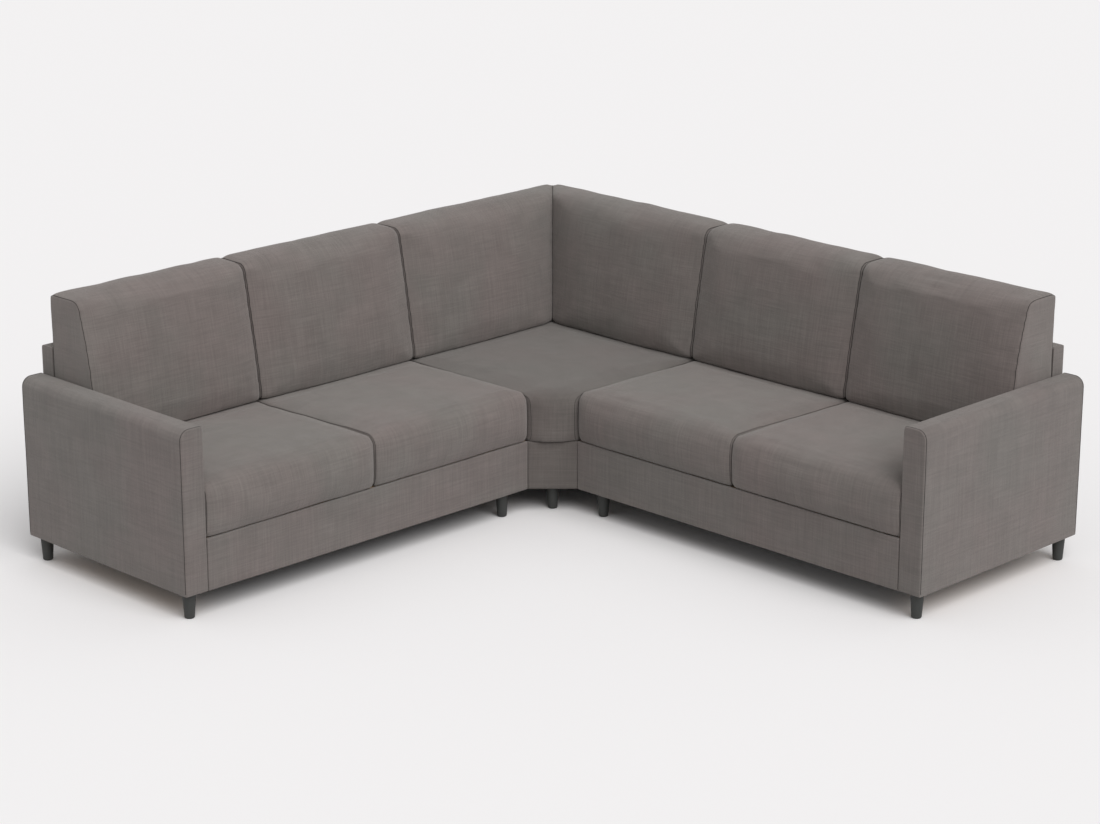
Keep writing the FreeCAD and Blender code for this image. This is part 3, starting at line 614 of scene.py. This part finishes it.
for side in ("right", "left"):
    node = side + "_arm_cover"
    low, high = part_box(node)
    across, deep = (0, 1) if side == "right" else (1, 0)
    outer = high[0] if side == "right" else low[1]
    inner = low[0] if side == "right" else high[1]
    front = low[1] if side == "right" else high[0]
    rear = high[1] if side == "right" else low[0]
    arm = ruled_block(side + "_arm", low, high, PADDING_PITCH)
    top = high[2]
    at_outer, at_inner, at_top = both_at(across, outer), both_at(across, inner), both_at(2, top)
    at_front, at_rear = both_at(deep, front), both_at(deep, rear)
    round_edges(arm, ARM_OUTER_ROUND, 7, lambda a, b: at_outer(a, b) and at_top(a, b))
    round_edges(arm, ARM_INNER_ROUND, 4, lambda a, b: at_inner(a, b) and at_top(a, b))

    def rim(a, b):
        """The outline of the front or rear facing."""
        inside = low[2] + 0.001 < a[2] < top - 0.001
        rung = abs(a[across] - b[across]) > RUNG_LENGTH and inside
        return (at_front(a, b) or at_rear(a, b)) and not rung

    round_edges(arm, FACING_ROUND, 3, rim)
    soften(arm, ARM_SWELL)
    dress(arm, node, cover_cloth)
    # Dark cords at the front and rear facings' seams: painted seam-groove shade.
    inward = 1 if front < rear else -1
    seam_step = inward * FACING_SEAM_INSET
    seam_foot = low[2] + FACING_SEAM_FOOT
    for end, place in (("front", front + seam_step), ("rear", rear - seam_step)):
        point = (place, 0, 0) if deep == 0 else (0, place, 0)
        normal = (1, 0, 0) if deep == 0 else (0, 1, 0)
        line_name = f"{side}_arm_{end}_seam"
        line = seam(arm, line_name, point, normal, "frame", lambda co: co.z > seam_foot)


# Padded backs. Boards and posts under thin foam and the same cloth: the low wall that the loose
# back cushions lean on, thicker above the seat. The corner pair meets in a mitre.

PAD_FOOT = 0.262
LOWER_FRONT = 0.05
PAD_CREASE = 0.002
MITRE_LAP = 0.003
WALL_ROUND = 0.009
WALL_SWELL = 0.0006
for start in ("right", "left", "corner_right", "corner_left"):
    node = start + "_back_cover"
    low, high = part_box(node)
    left = "left" in node
    deep = 0 if left else 1
    wall = ruled_block(node.replace("_cover", "_wall"), low, high, PADDING_PITCH)
    bpy.ops.object.mode_set(mode="EDIT")
    for level in (PAD_FOOT, PAD_FOOT + PAD_CREASE):
        bpy.ops.mesh.select_all(action="SELECT")
        bpy.ops.mesh.bisect(plane_co=(0, 0, level), plane_no=(0, 0, 1))
    bpy.ops.object.mode_set(mode="OBJECT")
    front = high[0] if left else low[1]
    rear = low[0] if left else high[1]
    step = LOWER_FRONT if left else -LOWER_FRONT
    for vertex in wall.data.vertices:
        below = vertex.co.z < PAD_FOOT + PAD_CREASE / 2
        if below and abs(vertex.co[deep] - front) < TOUCHING:
            vertex.co[deep] = rear + step
    if "corner" in node:
        bpy.ops.object.mode_set(mode="EDIT")
        bpy.ops.mesh.select_all(action="SELECT")
        bpy.ops.mesh.bisect(
            plane_co=(MITRE_LAP if left else -MITRE_LAP, 0, 0), plane_no=(1, 1, 0), use_fill=True,
            clear_outer=left, clear_inner=not left)
        bpy.ops.object.mode_set(mode="OBJECT")
    at_top, at_face, at_rear = both_at(2, high[2]), both_at(deep, front), both_at(deep, rear)
    round_edges(wall, WALL_ROUND, 4, lambda a, b: at_top(a, b) and (at_face(a, b) or at_rear(a, b)))
    soften(wall, WALL_SWELL)
    dress(wall, node, cover_cloth)


# Aprons. Thin padded boards on the front rails, with a dark joint where one unit meets the next
# and a shadow gap under the seat cushions.

APRON_PITCH = 0.045
APRON_JOINT = 0.0008
APRON_ROUND = 0.0045
APRON_SWELL = 0.0006
CORNER_APRON_PITCH = 0.004
for side in ("right", "left"):
    node = side + "_base_cover"
    low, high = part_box(node)
    along = 0 if side == "right" else 1
    low[along] += APRON_JOINT
    high[along] -= APRON_JOINT
    apron = ruled_block(side + "_apron", low, high, APRON_PITCH)
    face = both_at(1, low[1]) if side == "right" else both_at(0, high[0])
    ends = [both_at(along, low[along]), both_at(along, high[along])]
    levels = [both_at(2, low[2]), both_at(2, high[2])]
    round_edges(apron, APRON_ROUND, 3, lambda a, b: face(a, b) and any(t(a, b) for t in ends + levels))
    soften(apron, APRON_SWELL)
    dress(apron, node, cover_cloth)

corner_apron = fresh_form("corner_base_cover", CORNER_APRON_PITCH)
corner_apron.name = "corner_apron"
bpy.ops.object.shade_smooth()
# The corner apron wears the darker copy of the cloth, painted shade.
dress(corner_apron, "corner_base_cover", corner_painted_shade_cloth)


# Feet. Turned beech tapered towards the floor, lacquered dark grey, each with a tenon that is
# glued into a corner block or an arm's bottom rail.

FOOT_HEIGHT = 0.087
FOOT_TOP_RADIUS = 0.0225
FOOT_RADIUS = 0.0165
FOOT_EDGE_ROUND = 0.005
FOOT_TOP_ROUND = 0.0008
FOOT_APART = 0.05
TENON_MIDDLE = 0.0955
TENON_WIDTH = 0.018
TENON_HEIGHT = 0.043
leg_lacquer = Finish("leg_lacquer")
grain = leg_lacquer.cloud(60.0, 3.0, (1, 1, 0.12))
leg_lacquer.set(
    Base_Color=leg_lacquer.blend(grain, (0.04, 0.042, 0.04, 1), (0.053, 0.055, 0.052, 1)),
    Roughness=leg_lacquer.between(grain, 0.3, 0.7, 0.42, 0.55))
leg_lacquer.relief(grain, 0.0004, 0.4)


def foot_places(node):
    """The axis of each foot in a node, from where its mesh meets the floor."""
    soles = [v.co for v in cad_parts[node].data.vertices if v.co.z < TOUCHING]
    groups = []
    for point in soles:
        for group in groups:
            if (group[0] - point).length < FOOT_APART:
                group.append(point)
                break
        else:
            groups.append([point])
    middles = []
    for group in groups:
        xs = [p.x for p in group]
        ys = [p.y for p in group]
        middles.append(((min(xs) + max(xs)) / 2, (min(ys) + max(ys)) / 2))
    return middles


for node in ("right_legs", "left_legs", "corner_legs"):
    turned = []
    for x, y in foot_places(node):
        bpy.ops.object.select_all(action="DESELECT")
        bpy.ops.mesh.primitive_cone_add(
            vertices=48, radius1=FOOT_RADIUS, radius2=FOOT_TOP_RADIUS, depth=FOOT_HEIGHT,
            location=(x, y, FOOT_HEIGHT / 2))
        foot = bpy.context.object
        bpy.ops.object.transform_apply(location=True)
        round_edges(foot, FOOT_EDGE_ROUND, 5, both_at(2, 0.0))
        round_edges(foot, FOOT_TOP_ROUND, 2, both_at(2, FOOT_HEIGHT))
        bpy.ops.object.shade_smooth_by_angle(angle=math.radians(40))
        bpy.ops.mesh.primitive_cube_add(
            size=1, location=(x, y, TENON_MIDDLE), scale=(TENON_WIDTH, TENON_WIDTH, TENON_HEIGHT))
        tenon = bpy.context.object
        bpy.ops.object.transform_apply(location=True, scale=True)
        turned += [foot, tenon]
    only(*turned)
    bpy.ops.object.join()
    feet = bpy.context.object
    feet.name = node.replace("legs", "feet")
    dress(feet, node, leg_lacquer)


# Timber frame. Planed softwood rails, posts and boards, with blocks glued in the corners. Each
# piece takes a grain that runs along its own length.

def planed_timber(name, stretch):
    timber = Finish(name)
    rings = timber.cloud(1.0, 3.0, stretch)
    pores = timber.cloud(1.0, 2.0, [v * 7 for v in stretch])
    ring_share = timber.between(rings, 0.35, 0.65)
    tone = timber.blend(ring_share, (0.46, 0.29, 0.15, 1), (0.62, 0.43, 0.25, 1))
    pore_share = timber.between(pores, 0.55, 0.75, 0.0, 0.35)
    timber.set(
        Base_Color=timber.blend(pore_share, tone, (0.3, 0.17, 0.08, 1)),
        Roughness=timber.between(rings, 0.3, 0.7, 0.55, 0.7))
    timber.relief(pores, 0.0005, 0.5)
    return timber


timbers = [
    planed_timber("timber_along_x", (2, 40, 40)),
    planed_timber("timber_along_y", (40, 2, 40)),
    planed_timber("timber_along_z", (40, 40, 2)),
]
TIMBER_RUNS = {
    "front_rail": 0, "rear_rail": 0, "end_rails": 1, "centre_rail": 1, "leg_blocks": 0,
    "arm_frame": 1, "back_boards": 0, "back_posts": 2, "rear_rails": 0, "side_rails": 1,
}
for node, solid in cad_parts.items():
    for ending, run in TIMBER_RUNS.items():
        if node.endswith(ending):
            if node.startswith(("left", "corner_left")) and run < 2:
                run = 1 - run
            wear(solid, timbers[run])


# Webbing and dust cloth. Dark elastic straps woven over and under each other carry the cushions,
# and thin black cloth closes the bases from below.

webbing_band = Finish("webbing_band")
ribs = webbing_band.node(
    "TexWave", {"wave_type": "BANDS", "bands_direction": "DIAGONAL"},
    {"Vector": webbing_band.place(), "Scale": 90, "Distortion": 0.4}, "Fac")
rib_colour = webbing_band.blend(ribs, (0.03, 0.028, 0.026, 1), (0.075, 0.07, 0.062, 1))
webbing_band.set(Base_Color=rib_colour, Roughness=0.85)
webbing_band.relief(ribs, 0.0005)
dust_cloth = Finish("dust_cloth")
fibres = dust_cloth.cloud(260.0, 4.0)
fibre_colour = dust_cloth.blend(fibres, (0.012, 0.012, 0.012, 1), (0.04, 0.04, 0.04, 1))
dust_cloth.set(Base_Color=fibre_colour, Roughness=0.95)
dust_cloth.relief(fibres, 0.0004)
for node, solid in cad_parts.items():
    if node.endswith("seat_webbing"):
        wear(solid, webbing_band)
    if node.endswith("dust_sheet"):
        wear(solid, dust_cloth)


# Steel fittings. Zinc plated bolts hold the arms to the seat units, and flat plates over the end
# rails join each seat unit to the corner unit.

zinc = Finish("zinc_plate")
spangle = zinc.cloud(120.0, 2.0)
zinc.set(
    Base_Color=zinc.blend(spangle, (0.5, 0.51, 0.52, 1), (0.66, 0.67, 0.68, 1)),
    Metallic=1.0, Roughness=zinc.between(spangle, 0.3, 0.7, 0.28, 0.45))
for node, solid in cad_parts.items():
    if node.endswith(("arm_bolts", "joining_plates")):
        wear(solid, zinc)
